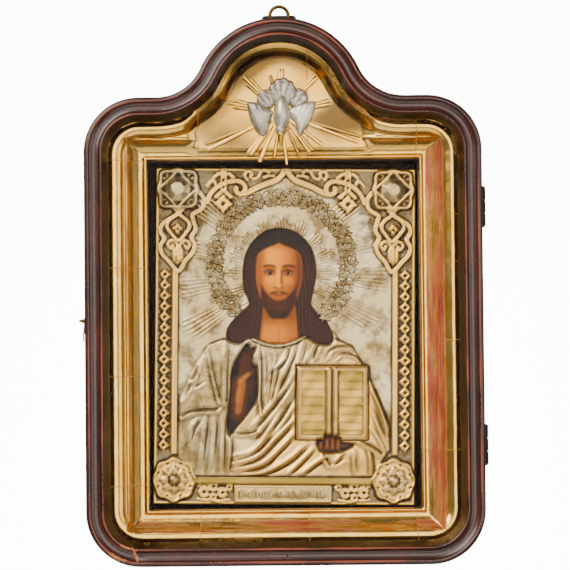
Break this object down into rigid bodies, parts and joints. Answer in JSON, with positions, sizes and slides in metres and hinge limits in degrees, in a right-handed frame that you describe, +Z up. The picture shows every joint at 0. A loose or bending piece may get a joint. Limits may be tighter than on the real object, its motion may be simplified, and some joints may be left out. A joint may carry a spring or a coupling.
{
  "type": "glazed icon case with icon panel",
  "caption": "Wall-hung glazed wooden case with an arched crown, a gilt liner with a carved dove, and a painted icon panel under an embossed metal cover with a pierced halo.",
  "frame": {"origin": "middle of the back board's rear face, on the wall", "axes": "+X to the viewer's right, +Y into the wall, +Z up; the glass door faces -Y"},
  "size_m": [0.2653, 0.0706, 0.3733],
  "materials": {
    "dark_wood": "dark mahogany-brown varnish, worn to red-orange along the edges",
    "plain_wood": "plain aged softwood",
    "gilding": "burnished gold leaf over red bole on carved wood",
    "silvering": "silver leaf on carved wood",
    "painted_panel": "oil painting on gesso over a wooden panel",
    "embossed_silver": "embossed sheet silver, parcel gilt, toned in its grooves",
    "gilt_metal": "pierced cast metal with worn gilding",
    "window_glass": "clear window glass",
    "blackened_iron": "blackened sheet iron",
    "brass": "dull drawn brass wire"
  },
  "bodies": {
    "case": {"back_board": "plain_wood", "case_sides": "dark_wood", "gilt_liner": "gilding", "glory_rays": "gilding", "dove": "silvering", "icon_board": "painted_panel", "silver_cover": "embossed_silver", "halo": "gilt_metal", "hinge_upper_case_leaf": "blackened_iron", "hinge_upper_pin": "blackened_iron", "hinge_lower_case_leaf": "blackened_iron", "hinge_lower_pin": "blackened_iron", "catch_screw": "brass", "hanger_plate": "blackened_iron"},
    "door": {"door_frame": "dark_wood", "door_glass": "window_glass", "glazing_bead": "dark_wood", "hinge_upper_door_leaf": "blackened_iron", "hinge_lower_door_leaf": "blackened_iron", "catch_stud": "brass"},
    "hook": {"catch_hook": "brass"},
    "ring": {"hanging_ring": "brass"}
  },
  "joints": [
    {"name": "door_hinge", "type": "hinge", "parent": "case", "child": "door", "pos_m": [0.1307, -0.05449, 0], "axis": [0, 0, 1], "range_deg": [0, 175]},
    {"name": "hook_swing", "type": "hinge", "parent": "case", "child": "hook", "pos_m": [-0.129, -0.04985, -0.0182], "axis": [1, 0, 0], "range_deg": [-60, 270]},
    {"name": "ring_swing", "type": "hinge", "parent": "case", "child": "ring", "pos_m": [-0.0016, -0.00445, 0.18215], "axis": [1, 0, 0], "range_deg": [0, 85]}
  ]
}
